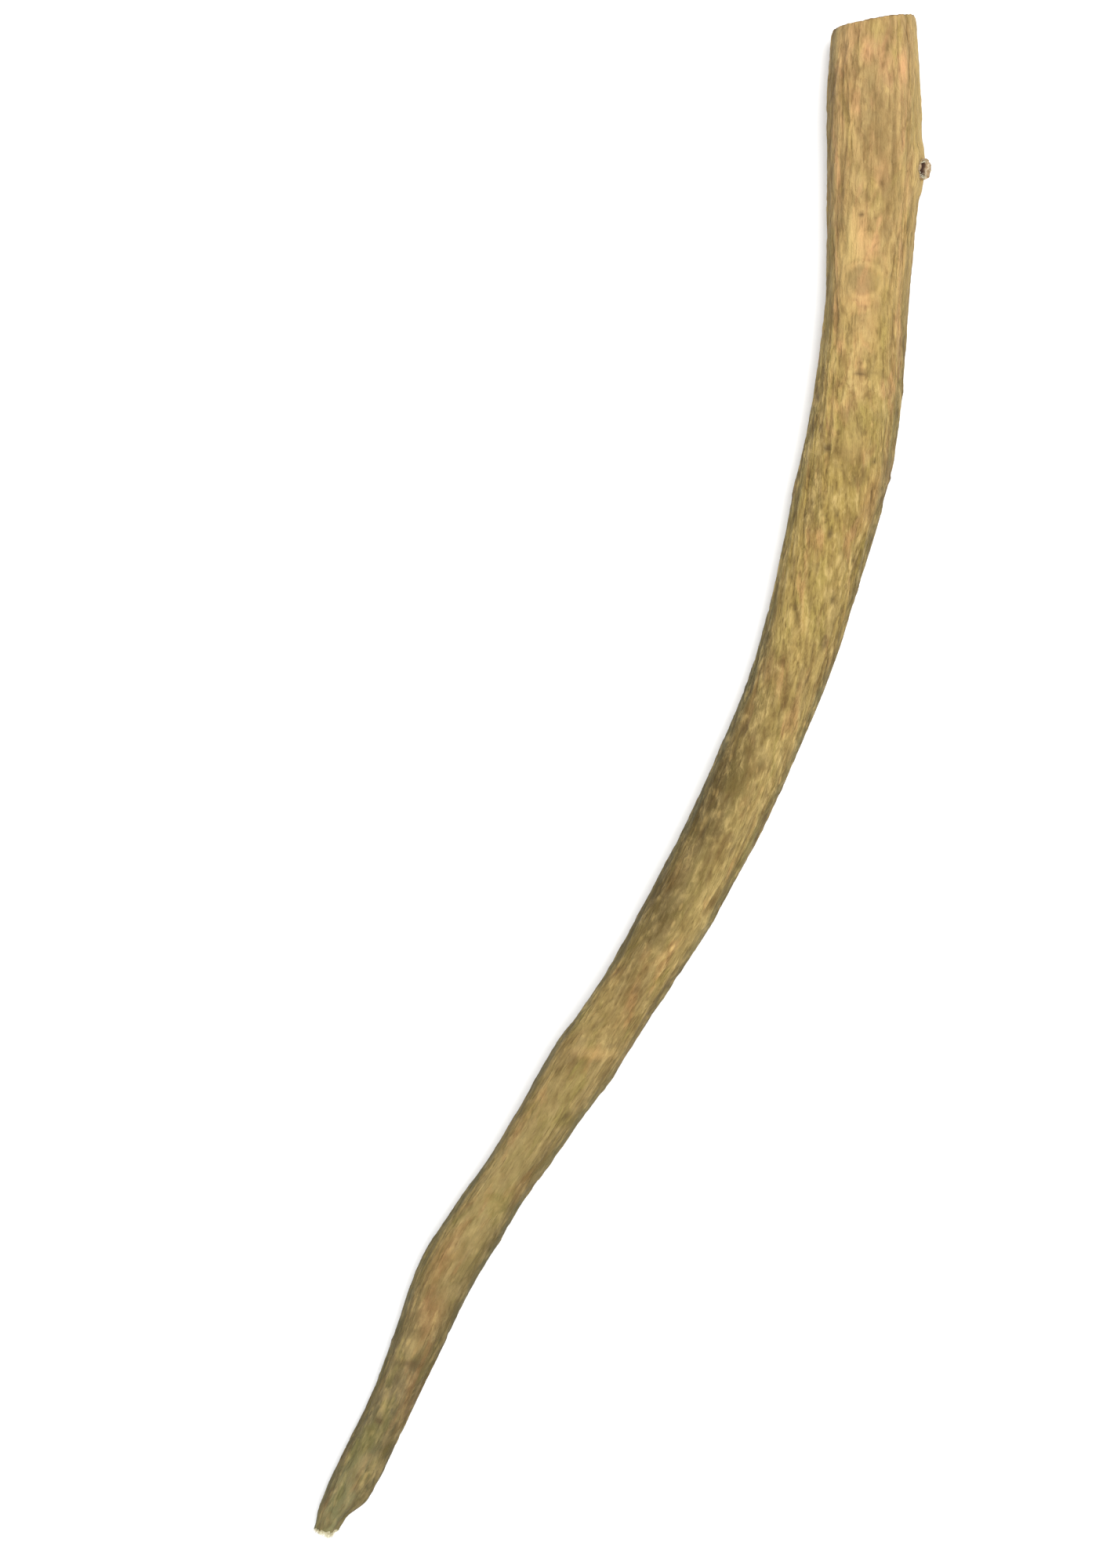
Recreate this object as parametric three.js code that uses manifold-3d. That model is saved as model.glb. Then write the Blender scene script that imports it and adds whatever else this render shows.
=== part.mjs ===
// A dried pushkarmool root, the root of Inula racemosa, in one piece as it was dug, cut and dried.
// Millimetres. +X runs from the thin broken tip to the thick cut crown, and +Z is up. The root lies on
// z = 0, with its origin under the middle of its box. It is a bar that tapers, bends and swells: the
// rings of a plain cylinder are carried along a curved spine and shaped there.
import * as THREE from "three";
import { mergeVertices } from "three/addons/utils/BufferGeometryUtils.js";
import Module from "manifold-3d";

// The spine seen from above, from tip to crown.
const bends = [
  [-99.4, 8.9],
  [-87.0, 7.5],
  [-75.0, 6.5],
  [-64.0, 6.0],
  [-55.0, 4.2],
  [-43.6, 1.4],
  [-35.5, -0.4],
  [-28.0, -2.3],
  [-12.4, -5.5],
  [3.3, -7.6],
  [19.3, -8.45],
  [35.2, -7.3],
  [51.1, -5.2],
  [66.6, -1.3],
  [81.9, 3.5],
  [96.9, 8.9],
];

// The width seen from above, and the clear height underneath, at shares of the spine's length. The root
// touches the ground in three places: near the tip, under the belly of its bend and near the crown.
const widths = [
  [0.0, 4.4],
  [0.03, 5.4],
  [0.09, 5.55],
  [0.16, 7.0],
  [0.2, 7.4],
  [0.25, 6.75],
  [0.27, 7.1],
  [0.3, 7.65],
  [0.33, 8.35],
  [0.36, 8.0],
  [0.39, 8.0],
  [0.44, 8.9],
  [0.48, 9.0],
  [0.52, 9.45],
  [0.56, 9.25],
  [0.6, 9.4],
  [0.65, 10.3],
  [0.73, 11.2],
  [0.78, 10.8],
  [0.82, 10.25],
  [0.92, 11.45],
  [0.96, 11.3],
  [1.0, 10.2],
];
const lifts = [
  [0.0, 0.8],
  [0.07, 0.0],
  [0.14, 0.2],
  [0.24, 1.3],
  [0.35, 2.2],
  [0.48, 1.2],
  [0.6, 0.0],
  [0.7, 0.0],
  [0.82, 0.8],
  [0.93, 0.0],
  [1.0, 0.3],
];

const sides = 28; // points round a section
const rings = 92; // sections along the spine
const endCrowding = 0.7; // 0 spaces the rings evenly, and nearer 1 draws them towards both ends
const flatness = 0.93; // a section's height over its width
const driedFlat = 0.2; // depth lost where the soft root dried flat on what it lay on

// A section is a circle with shallow lobes that wander round the root on the way to the crown.
const lobes = [
  { count: 2, depth: 0.03, phase: 2.2, twist: 3.0 },
  { count: 3, depth: 0.022, phase: -1.1, twist: -5.0 },
  { count: 5, depth: 0.012, phase: 0.4, twist: 9.0 },
];

// At the tip a sliver has broken off the -Y side, and the crown is cut a little askew.
const sliver = { facing: Math.PI - 0.3, depth: 0.75, startsAt: 0.01, endsAt: 0.026 };
const crownCut = { slope: 0.18, startsAt: 0.95 };

// The broken stub of a side root, on the -Y side near the crown.
const stub = { at: 0.915, length: 3.8, thickness: 3.2, outside: 1.6, raised: 0.4 };

const barkMaterial = new THREE.MeshStandardMaterial({ color: 0xab8853, roughness: 0.85, metalness: 0 });

const spine = new THREE.CatmullRomCurve3(bends.map(([x, y]) => new THREE.Vector3(x, y, 0)));
const widthAlong = smoothThrough(widths);
const liftAlong = smoothThrough(lifts);

// A smooth function of the share of length, through pairs of share and value.
function smoothThrough(pairs) {
  const shares = pairs.map(([share]) => share);
  const values = pairs.map(([, value]) => value);
  const curve = new THREE.CubicInterpolant(shares, values, 1);
  return (share) => curve.evaluate(share)[0];
}

// A section's radius over its half width. Angle 0 is the +Y side and a quarter turn is the top.
function radiusShare(angle, share) {
  const lobed = lobes.reduce(
    (sum, { count, depth, phase, twist }) => sum + depth * Math.cos(count * angle + phase + twist * share),
    1,
  );
  const broken = 1 - THREE.MathUtils.smoothstep(share, sliver.startsAt, sliver.endsAt);
  const facing = Math.max(0, Math.cos(angle - sliver.facing));
  return lobed * (1 - sliver.depth * broken * facing ** 1.5);
}

// The middle of the root, its directions and its half width at a share of the length. The middle's height
// sets the section's lowest point at the clear height, less the depth that dried flat.
function sectionAt(share) {
  const centre = spine.getPointAt(share);
  const along = spine.getTangentAt(share);
  const sideways = new THREE.Vector3(-along.y, along.x, 0);
  const half = widthAlong(share) / 2;
  const heights = Array.from({ length: sides }, (_, i) => {
    const angle = (2 * Math.PI * i) / sides;
    return half * flatness * radiusShare(angle, share) * Math.sin(angle);
  });
  centre.z = liftAlong(share) - driedFlat - Math.min(...heights);
  return { centre, along, sideways, half };
}

// The cylinder's wall becomes the bark, and its flat ends the broken tip and the cut crown.
function rootGeometry() {
  const geometry = new THREE.CylinderGeometry(1, 1, 1, sides, rings);
  const shares = Array.from({ length: rings + 1 }, (_, i) => {
    const turn = (2 * Math.PI * i) / rings;
    return THREE.MathUtils.clamp((turn - endCrowding * Math.sin(turn)) / (2 * Math.PI), 0, 1);
  });
  const sections = shares.map(sectionAt);
  const position = geometry.getAttribute("position");
  const point = new THREE.Vector3();
  for (let i = 0; i < position.count; i++) {
    point.fromBufferAttribute(position, i);
    const ring = Math.round((point.y + 0.5) * rings);
    const share = shares[ring];
    const { centre, along, sideways, half } = sections[ring];
    const angle = Math.atan2(point.x, point.z);
    const radius = half * Math.hypot(point.x, point.z) * radiusShare(angle, share);
    const aside = radius * Math.cos(angle);
    const slant = crownCut.slope * THREE.MathUtils.smoothstep(share, crownCut.startsAt, 1);
    point.copy(centre).addScaledVector(sideways, aside).addScaledVector(along, -aside * slant);
    point.z = Math.max(0, point.z + radius * flatness * Math.sin(angle));
    position.setXYZ(i, point.x, point.y, point.z);
  }
  return geometry;
}

// The stub is a squat egg, its long side along the root, half sunk in the bark.
function stubGeometry() {
  const { centre, along, sideways, half } = sectionAt(stub.at);
  centre.addScaledVector(sideways, stub.thickness / 2 - stub.outside - half);
  return new THREE.SphereGeometry(1, 14, 10)
    .scale(stub.length / 2, stub.thickness / 2, stub.thickness / 2)
    .rotateZ(Math.atan2(along.y, along.x))
    .translate(centre.x, centre.y, centre.z + stub.raised);
}

const wasm = await Module();
wasm.setup();

function toSolid(geometry) {
  geometry.deleteAttribute("normal");
  geometry.deleteAttribute("uv");
  const merged = mergeVertices(geometry);
  const vertProperties = new Float32Array(merged.getAttribute("position").array);
  const triVerts = new Uint32Array(merged.index.array);
  return new wasm.Manifold(new wasm.Mesh({ numProp: 3, vertProperties, triVerts }));
}

function toGeometry(solid) {
  const mesh = solid.getMesh();
  const geometry = new THREE.BufferGeometry();
  geometry.setAttribute("position", new THREE.BufferAttribute(mesh.vertProperties, 3));
  geometry.setIndex(new THREE.BufferAttribute(mesh.triVerts, 1));
  geometry.computeVertexNormals();
  return geometry;
}

const geometry = toGeometry(toSolid(rootGeometry()).add(toSolid(stubGeometry())));
geometry.computeBoundingBox();
const middle = geometry.boundingBox.getCenter(new THREE.Vector3());
geometry.translate(-middle.x, -middle.y, 0);

const root = new THREE.Mesh(geometry, barkMaterial);
root.name = "pushkarmool_root";

const group = new THREE.Group();
group.add(root);
export default group;
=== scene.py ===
import itertools
import math

import bpy
import numpy as np
from mathutils import Matrix, Vector


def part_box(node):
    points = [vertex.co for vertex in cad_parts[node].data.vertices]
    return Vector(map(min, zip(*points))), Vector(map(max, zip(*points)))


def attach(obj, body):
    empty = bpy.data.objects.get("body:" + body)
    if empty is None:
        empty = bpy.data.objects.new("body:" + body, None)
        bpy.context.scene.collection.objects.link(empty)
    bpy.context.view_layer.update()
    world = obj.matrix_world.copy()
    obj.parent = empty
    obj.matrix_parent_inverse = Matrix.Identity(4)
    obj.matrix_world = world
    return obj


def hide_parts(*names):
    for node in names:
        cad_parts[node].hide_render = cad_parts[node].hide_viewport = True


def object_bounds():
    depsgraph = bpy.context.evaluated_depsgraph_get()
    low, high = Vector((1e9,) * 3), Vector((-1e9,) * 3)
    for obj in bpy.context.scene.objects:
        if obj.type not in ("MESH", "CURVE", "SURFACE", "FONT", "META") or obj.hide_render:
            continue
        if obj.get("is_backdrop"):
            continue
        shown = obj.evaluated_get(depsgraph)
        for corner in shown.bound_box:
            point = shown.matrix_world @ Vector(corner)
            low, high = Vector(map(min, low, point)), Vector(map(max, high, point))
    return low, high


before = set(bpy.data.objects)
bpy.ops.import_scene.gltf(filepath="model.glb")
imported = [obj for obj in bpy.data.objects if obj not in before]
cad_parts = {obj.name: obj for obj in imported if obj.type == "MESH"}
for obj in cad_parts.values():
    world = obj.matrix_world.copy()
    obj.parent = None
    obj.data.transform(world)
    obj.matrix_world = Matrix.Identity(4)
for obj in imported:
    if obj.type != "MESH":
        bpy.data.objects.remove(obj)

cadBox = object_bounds()
boxLow, boxHigh = np.array(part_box("pushkarmool_root"))
mm = (boxHigh[0] - boxLow[0]) / 199.03  # the solid is 199.03 mm long, so this is one millimetre
middle = np.array([*(boxLow + boxHigh)[:2] / 2, boxLow[2]])  # the middle of the solid's footprint
print("frame loaded, one millimetre is", round(mm, 7))


# A smooth curve through knots: on each span, the cubic with the knots' values and with the slopes
# that the curve through each knot and its two neighbours has there.
def smoothThrough(knots, values, at):
    knots, values = np.asarray(knots, float), np.asarray(values, float)
    slopes = np.gradient(values, knots, axis=0)
    span = np.clip(np.searchsorted(knots, at) - 1, 0, len(knots) - 2)
    gap = knots[span + 1] - knots[span]
    t = (at - knots[span]) / gap
    if values.ndim == 2:
        t, gap = t[..., None], gap[..., None]
    fromStart = (1 + 2 * t) * (1 - t) ** 2 * values[span] + t * (1 - t) ** 2 * gap * slopes[span]
    fromEnd = t**2 * (3 - 2 * t) * values[span + 1] + t**2 * (t - 1) * gap * slopes[span + 1]
    return fromStart + fromEnd


# From 0 at start to 1 at end, as 3t^2 - 2t^3.
def smoothStep(start, end, at):
    t = np.clip((at - start) / (end - start), 0, 1)
    return t * t * (3 - 2 * t)


# Coordinates put together as places, each stretched to the shape of them all.
def placesOf(*coordinates):
    return np.stack(np.broadcast_arrays(*coordinates), -1)


# Ways made one long: each over its own length.
def unit(ways):
    return ways / np.linalg.norm(ways, axis=-1, keepdims=True)


noiseLattice = (256, 48, 48)


# Gradient noise, from about -1 to 1: every lattice point holds a random direction, whose dot product
# with the way to a place is its say there, and the eight points around blend by 6t^5 - 15t^4 + 10t^3.
def noise(places, seed):
    directions = unit(np.random.default_rng(seed).normal(size=(*noiseLattice, 3)))
    cell = np.floor(places).astype(int)
    inside = places - cell
    fade = inside**3 * (inside * (6 * inside - 15) + 10)
    total = np.zeros(places.shape[:-1])
    for corner in itertools.product((0, 1), repeat=3):
        held = directions[tuple(np.moveaxis((cell + corner) % noiseLattice, -1, 0))]
        weight = np.where(corner, fade, 1 - fade).prod(-1)
        total += weight * ((inside - corner) * held).sum(-1)
    return total * 1.7


# Octaves of noise, each twice as fine as the one before and with a share of its strength.
def layeredNoise(places, seed, octaves=2, keep=0.5):
    strengths = keep ** np.arange(octaves)
    layers = [strength * noise(places * 2**i, seed + i) for i, strength in enumerate(strengths)]
    return sum(layers) / strengths.sum()


rootForm = dict(
    # the spine from tip to crown: x and y in mm
    bends=[
        (-99.4, 8.9), (-87.0, 7.5), (-75.0, 6.5), (-64.0, 6.0),
        (-55.0, 4.2), (-43.6, 1.4), (-35.5, -0.4), (-28.0, -2.3),
        (-12.4, -5.5), (3.3, -7.6), (19.3, -8.45), (35.2, -7.3),
        (51.1, -5.2), (66.6, -1.3), (81.9, 3.5), (96.9, 8.9),
    ],
    boxMiddle=(-0.0125, 0.2008),  # the middle of the solid's box, on the same x and y
    # share of the length and width in mm
    widths=[
        (0.0, 4.4), (0.03, 5.4), (0.09, 5.55), (0.16, 7.0), (0.2, 7.4), (0.25, 6.75),
        (0.27, 7.1), (0.3, 7.65), (0.33, 8.35), (0.36, 8.0), (0.39, 8.0), (0.44, 8.9),
        (0.48, 9.0), (0.52, 9.45), (0.56, 9.25), (0.6, 9.4), (0.65, 10.3), (0.73, 11.2),
        (0.78, 10.8), (0.82, 10.25), (0.92, 11.45), (0.96, 11.3), (1.0, 10.2),
    ],
    # share of the length and clear height underneath in mm
    lifts=[
        (0.0, 0.8), (0.07, 0.0), (0.14, 0.2), (0.24, 1.3), (0.35, 2.2), (0.48, 1.2),
        (0.6, 0.0), (0.7, 0.0), (0.82, 0.8), (0.93, 0.0), (1.0, 0.3),
    ],
    # share of the length and whole turns that the grain has made round the root
    grainTurns=[(0, 0), (0.3, 0.01), (0.5, 0.08), (0.65, 0.26), (0.8, 0.42), (1, 0.44)],
    # waves round a section: how many, depth as a share of its radius, phase and twist in radians
    lobes=[(2, 0.03, 2.2, 3.0), (3, 0.022, -1.1, -5.0), (5, 0.012, 0.4, 9.0)],
    flatness=0.93,  # a section's height over its width
    driedFlat=0.2,  # mm that the underside lost where it dried flat
    crownSlope=0.18,  # how far the crown's cut leans, as a slope
)
rootMesh = dict(
    around=172,  # points round the root
    barkRows=545,
    tipRings=10,  # rings across the broken tip
    crownRings=20,  # rings across the cut crown
    crowding=0.12,  # 0 spaces the rows of bark evenly, and more draws them towards both ends
)

bends = np.array(rootForm["bends"]) - rootForm["boxMiddle"]
chords = np.r_[0, np.cumsum(np.hypot(*np.diff(bends, axis=0).T))]
finely = np.linspace(0, chords[-1], 4001)
run = np.r_[0, np.cumsum(np.hypot(*np.diff(smoothThrough(chords, bends, finely), axis=0).T))]
rootLength = run[-1]  # mm along the bend


# The spine's point at a share of its length: the chord that far along the curve, put into the curve.
def spineAt(share):
    return smoothThrough(chords, bends, np.interp(share * rootLength, run, finely))


# The spine's direction: the way between two of its points a hair apart.
def directionAt(share):
    hair = 1e-3
    return unit(spineAt(np.clip(share + hair, 0, 1)) - spineAt(np.clip(share - hair, 0, 1)))


# The smooth curve through one of the root's lists of share of the length and value.
def alongProfile(name, share):
    return smoothThrough(*np.array(rootForm[name]).T, share)


# Every row's share of the length and of the radius: out across the tip, along the bark, and in
# across the crown. The angle is 0 on the +Y side and a quarter turn on top, and the seam is below.
evenly = np.linspace(0, 1, rootMesh["barkRows"])
barkShares = evenly - rootMesh["crowding"] * np.sin(2 * math.pi * evenly) / (2 * math.pi)
tipOut = np.linspace(0, 1, rootMesh["tipRings"] + 1)[1:-1]
crownIn = np.linspace(1, 0, rootMesh["crownRings"] + 1)[1:-1]
share = np.r_[np.zeros(len(tipOut)), barkShares, np.ones(len(crownIn))][:, None]
across = np.r_[tipOut, np.ones(len(barkShares)), crownIn][:, None]
angle = (-math.pi / 2 + 2 * math.pi * np.arange(rootMesh["around"]) / rootMesh["around"])[None, :]
onBark = across == 1
fromCrown = (1 - share) * rootLength
half = alongProfile("widths", share) / 2
grain = angle + 2 * math.pi * alongProfile("grainTurns", share)  # the angle that the grain keeps
print("root is", rootLength.round(1), "mm along its bend, with", grain.size, "points")


# Places in the straightened root: along it, and on its section's circle turned with the grain, so
# that one unit is length mm along the grain and breadth mm across it.
def grainPlaces(length, breadth):
    off = half * across / breadth
    return placesOf(share * rootLength / length, off * np.cos(grain), off * np.sin(grain))


# The same places pushed about by a coarser noise, so that what is drawn on them wanders.
def wanderingPlaces(length, breadth, seed, push):
    places = grainPlaces(length, breadth)
    pushes = [noise(places * 0.6, seed + way) for way in range(3)]
    return places + push * placesOf(*pushes)


# A ridge where a field has one value: 1 - |field - value| / reach, never under 0.
def ridge(field, value, reach):
    return np.clip(1 - np.abs(field - value) / reach, 0, None)


barkRelief = dict(
    # each layer: mm along the grain, mm across it, and how high or deep it is in mm
    lumps=(14.0, 5.0, 0.18),
    flutes=(38.0, 2.8, 0.15),
    wrinkles=(12.0, 1.3, 0.2),
    fineWrinkles=(5.0, 0.7, 0.1),
    threads=(3.2, 0.5, 0.05),
    flakes=(4.2, 1.7, 0.05),
    grit=(0.9, 0.6, 0.035),
)


# The bark's layers: lumps, flutes, threads and grit are soft noises. Wrinkles are valleys,
# (1 - |noise| / 0.3)^1.5, with broad patches that have more of one kind or the other. A flake has
# a sharp edge, where its noise passes 0.1 to 0.2.
def barkLayers():
    size = {name: layer[:2] for name, layer in barkRelief.items()}
    patchy = smoothStep(-0.3, 0.35, noise(grainPlaces(17, 3.6), seed=31))
    coarse = layeredNoise(wanderingPlaces(*size["wrinkles"], seed=33, push=0.7), seed=41)
    fine = layeredNoise(wanderingPlaces(*size["fineWrinkles"], seed=37, push=0.5), seed=45)
    lifted = wanderingPlaces(*size["flakes"], seed=61, push=0.5)
    return dict(
        lumps=layeredNoise(grainPlaces(*size["lumps"]), seed=11),
        flutes=layeredNoise(grainPlaces(*size["flutes"]), seed=21),
        wrinkles=-(ridge(coarse, 0, 0.3) ** 1.5) * (0.3 + 0.7 * patchy),
        fineWrinkles=-(ridge(fine, 0, 0.3) ** 1.5) * (1.0 - 0.6 * patchy),
        threads=layeredNoise(grainPlaces(*size["threads"]), seed=51, keep=0.6),
        flakes=smoothStep(0.1, 0.2, layeredNoise(lifted, seed=65, octaves=3, keep=0.6)),
        grit=layeredNoise(grainPlaces(*size["grit"]), seed=81, keep=0.7),
    )


layers = barkLayers()
relief = sum(barkRelief[name][2] * layer for name, layer in layers.items())
bark = dict(relief=relief, pale=np.zeros_like(grain), stainAndShade=np.zeros_like(grain))
print("bark's relief without its marks, mm:", relief.min().round(2), "to", relief.max().round(2))


# How near each point is to a mark: 1 at its middle and 0 past its edge, as (1 - d^2)^2, where d is
# the distance from the middle along the root and round it, as shares of the mark's two reaches.
def nearMark(at, degrees, alongReach, aroundReach, lean=0.0):
    aside = (np.mod(angle - math.radians(degrees) + math.pi, 2 * math.pi) - math.pi) * half
    ahead = (share - at) * rootLength - lean * aside
    d2 = (ahead / alongReach) ** 2 + (aside / aroundReach) ** 2
    return np.clip(1 - d2, 0, None) ** 2 * onBark


# A mark on the bark, by how near each point is: mm raised, added to what is there, and a tone, pale
# above 0 and dark below it, where the stronger of each kind wins.
def leaveMark(near, raised=0.0, tone=0.0):
    bark["relief"] += raised * near
    bark["pale"] = np.maximum(bark["pale"], tone * near)
    bark["stainAndShade"] = np.maximum(bark["stainAndShade"], -tone * near)


# Each mark: share of the length, degrees from the +Y side over the top, reach along the root and
# round it in mm, mm raised, tone, and how far it leans.
barkMarks = [
    (0.079, 82, 0.7, 1.0, -0.15, -0.7, 0.0),  # dark pit near the tip
    (0.118, 86, 0.9, 2.0, -0.2, -0.6, 0.2),  # crescent below a small knot
    (0.13, 84, 2.0, 2.0, 0.2, 0.22, 0.0),
    (0.298, 120, 1.2, 0.5, -0.12, -0.6, 0.3),
    (0.341, 100, 1.1, 3.9, 0.18, 0.2, 0.45),  # healed ring
    (0.332, 95, 1.0, 3.6, -0.16, -0.24, 0.45),
    (0.541, 100, 2.4, 0.6, -0.1, -0.4, -0.2),
    (0.556, 50, 1.8, 1.0, -0.15, -0.5, 0.0),
    (0.581, 30, 2.4, 0.6, -0.15, -0.5, 0.0),
    (0.624, 122, 1.2, 0.4, -0.1, -0.5, 0.1),
    (0.648, 117, 0.8, 0.7, -0.18, -0.6, 0.0),
    (0.72, 110, 1.0, 0.8, -0.08, -0.35, 0.0),
    (0.727, 176, 1.2, 0.9, 0.3, -0.5, 0.0),  # bump on the -Y edge
    (0.731, 75, 0.5, 3.2, -0.05, -0.1, 0.0),
    (0.736, 59, 0.9, 0.9, -0.28, -0.8, 0.0),  # dark pit
    (0.784, 86, 0.5, 1.4, -0.25, -0.7, 0.0),  # crack across
    (0.786, 103, 0.4, 2.8, -0.08, -0.25, 0.0),
    (0.783, 73, 0.5, 0.5, 0.06, 0.5, 0.0),
    (0.8075, 88, 1.2, 0.4, 0.05, 0.4, 0.0),
    (0.812, 96, 4.0, 1.8, 0.0, -0.1, 0.0),
    (0.8168, 82, 0.4, 1.5, -0.06, -0.24, 0.0),  # fine cracks across, before the scar
    (0.8203, 86, 0.4, 1.7, -0.08, -0.3, 0.1),
    (0.8243, 84, 0.4, 1.4, -0.06, -0.22, 0.0),
    (0.862, 63, 7.0, 2.1, 0.05, 0.6, 0.0),
    (0.742, 92, 3.4, 2.2, 0.0, 0.3, 0.0),
    # a long faint pale band between the top and the -Y side: painted highlight
    (0.56, 128, 18.0, 2.6, 0.0, 0.1, 0.0),
    (0.88, 72, 0.6, 0.6, -0.22, -0.8, 0.0),
    (0.898, 128, 5.0, 2.2, 0.0, 0.3, 0.0),
    (0.902, 152, 1.0, 0.9, 0.08, 0.5, 0.0),  # pale knot by the stub
    (0.94, 172, 30.0, 3.0, 0.0, 0.5, 0.0),  # pale strip on the -Y side near the crown: painted light, where that side faces the lamps
]
for *place, raised, tone, lean in barkMarks:
    leaveMark(nearMark(*place, lean), raised, tone)

# How vivid the grain is: calm near the tip, and most vivid over the belly of the bend. Each change
# has the shares of the length where it starts and ends, and how much it adds.
vividness = dict(atTip=0.45, changes=[(0.22, 0.44, 0.55), (0.46, 0.54, 0.35), (0.76, 0.86, -0.6)])
vivid = np.full_like(grain, vividness["atTip"])
for start, end, more in vividness["changes"]:
    vivid += more * smoothStep(start, end, share)

# Pores and flecks strewn over the bark, each longer along the root than round it.
strewnMarks = dict(
    count=260,
    pores=0.45,  # the share of them that are pores
    poreDepth=0.09,  # mm
    fleckHeight=0.05,
    # from and to: share of the length, degrees, and reach along the root and round it in mm
    places=[(0.02, 0, 0.5, 0.3), (0.99, 360, 1.5, 0.6)],
    leans=0.15,
    strength=(0.2, 0.6),
)
strewn = np.random.default_rng(7)
for _ in range(strewnMarks["count"]):
    near = nearMark(*strewn.uniform(*strewnMarks["places"]), strewn.normal(0, strewnMarks["leans"]))
    isPore = strewn.uniform() < strewnMarks["pores"]
    strength = strewn.uniform(*strewnMarks["strength"]) * vivid
    if isPore:
        leaveMark(near, -strewnMarks["poreDepth"], -strength)
    else:
        leaveMark(near, strewnMarks["fleckHeight"], strength)

# Patches with a net of small pale dots on sunken ground: share of the length, degrees, reach along
# and round in mm, strength and seed.
dottedPatches = [(0.697, 59, 2.2, 1.9, 0.35, 91), (0.489, 86, 1.8, 1.6, 0.22, 92)]
for *place, strength, seed in dottedPatches:
    dots = smoothStep(0.05, 0.45, noise(grainPlaces(0.9, 0.7), seed))
    ground = np.sqrt(nearMark(*place))
    leaveMark(ground, 0.1 * dots - 0.08, strength * dots)
    leaveMark(ground, 0.0, -strength * (1 - dots))

# An oval scar where a side root dropped: a smooth shallow dish, a low rim, a faint ring and a thin
# dark line, all a little uneven. Each is a ridge or a step in how near a point is to the middle.
scarPlace = dict(at=0.8405, degrees=79, alongReach=2.7, aroundReach=3.1)
# mm raised and tone
scarLook = dict(rim=(0.16, 0.22), dish=(-0.1, -0.26), ring=(0.04, 0.1), line=(-0.03, -0.12))
scar = np.sqrt(nearMark(**scarPlace))
scar = scar + 0.16 * noise(grainPlaces(2.2, 1.8), seed=95) * smoothStep(0.0, 0.3, scar)
scarSmooth = smoothStep(0.02, 0.4, scar)
scarParts = dict(
    rim=ridge(scar, 0.36, 0.3),
    dish=smoothStep(0.42, 0.75, scar),
    ring=ridge(scar, 0.8, 0.12),
    line=ridge(scar, 0.1, 0.1) * (scar > 0),
)
bark["relief"] *= 1 - 0.8 * scarSmooth
bark["pale"] *= 1 - scarSmooth
bark["stainAndShade"] *= 1 - scarSmooth
for name, look in scarLook.items():
    leaveMark(scarParts[name], *look)

# The collar of bark round the stub of a side root, on the -Y side, with a paler ring on it.
stubPlace = dict(at=0.911, degrees=176)
collar = nearMark(**stubPlace, alongReach=4.4, aroundReach=3.8)
leaveMark(collar, 0.55)
leaveMark(ridge(np.sqrt(collar), 0.6, 0.22), 0.1, 0.5)

# Inside the stub the bark is sunk out of the way, so that the hollows in its broken end stay open.
socket = nearMark(stubPlace["at"], 171, alongReach=1.5, aroundReach=1.2)
leaveMark(socket, -1.5)
# Painted shade darkens the sunken socket round the stub.
leaveMark(smoothStep(0.05, 0.4, socket), 0.0, -0.8)

# The grain is calm on the scar and on the collar.
vivid *= 1 - 0.8 * scarSmooth
vivid *= 1 - 0.5 * smoothStep(0.1, 0.6, collar)

# Pinkish and orange patches: share of the length, degrees, reach along and round in mm, strength, lean.
blushes = [
    (0.152, 95, 5.0, 2.4, 0.5, 0.0),
    (0.186, 70, 6.0, 2.4, 0.5, 0.0),
    (0.339, 95, 1.4, 3.6, 0.45, 0.45),
    (0.709, 135, 6.5, 2.4, 0.45, 0.0),
    (0.812, 88, 5.0, 2.4, 0.25, 0.0),
    (0.858, 84, 3.0, 1.8, 0.5, 0.0),
    (0.8405, 79, 6.5, 4.4, 0.3, 0.0),
    (0.868, 71, 4.4, 1.4, 0.8, 0.1),
    (0.905, 96, 3.0, 1.6, 0.4, 0.0),
    (0.966, 104, 3.8, 1.1, 0.8, -0.1),
    (0.97, 128, 3.0, 1.2, 0.8, 0.0),
    (0.98, 78, 2.6, 1.4, 0.7, 0.0),
]
blush = np.zeros_like(grain)
for *place, strength, lean in blushes:
    blush = np.maximum(blush, strength * nearMark(*place, lean))
blush *= 1 - 0.8 * scarParts["dish"]

# Dusky bark and painted shade: shares of the length where it starts and ends, degrees it faces, the cosine
# from there where it starts, and how strong it is. On the flanks it is partly dusky bark and partly
# painted shade. The rims are grey olive strips of painted shade along both sides, partly dark bark.
duskAndShadePlaces = [
    (0.4, 0.56, 45, 0.3, 0.8),  # the +Y flank over the belly of the bend: dusky bark and painted shade
    (0.55, 0.6, 30, 0.5, 0.6),
    (0.17, 0.33, 48, 0.5, 0.2),
    (0.17, 0.3, 135, 0.5, 0.2),
    (0.53, 0.79, 140, 0.6, 0.15),
    (0.42, 0.66, 15, 0.75, 0.4),
    (-0.1, 0.31, 158, 0.6, 0.5),  # painted shade on both flanks near the tip
    (-0.1, 0.12, 150, 0.7, 0.25),
    (-0.1, 0.33, 18, 0.8, 0.34),
    (0.24, 0.34, 12, 0.75, 0.5),
    (0.91, 0.97, 92, 0.9, 0.36),  # brown ground on top of the crown
]
# The rims: painted shade along both sides, where they turn away from the lamps, partly dark bark.
rimShadeAndBarkPlaces = [
    (0.12, 0.6, 180, 0.74, 0.5),
    (0.56, 0.86, 180, 0.82, 0.4),
    (0.1, 0.62, 0, 0.74, 0.55),
    (0.6, 1.1, 0, 0.8, 0.45),
]
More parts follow.
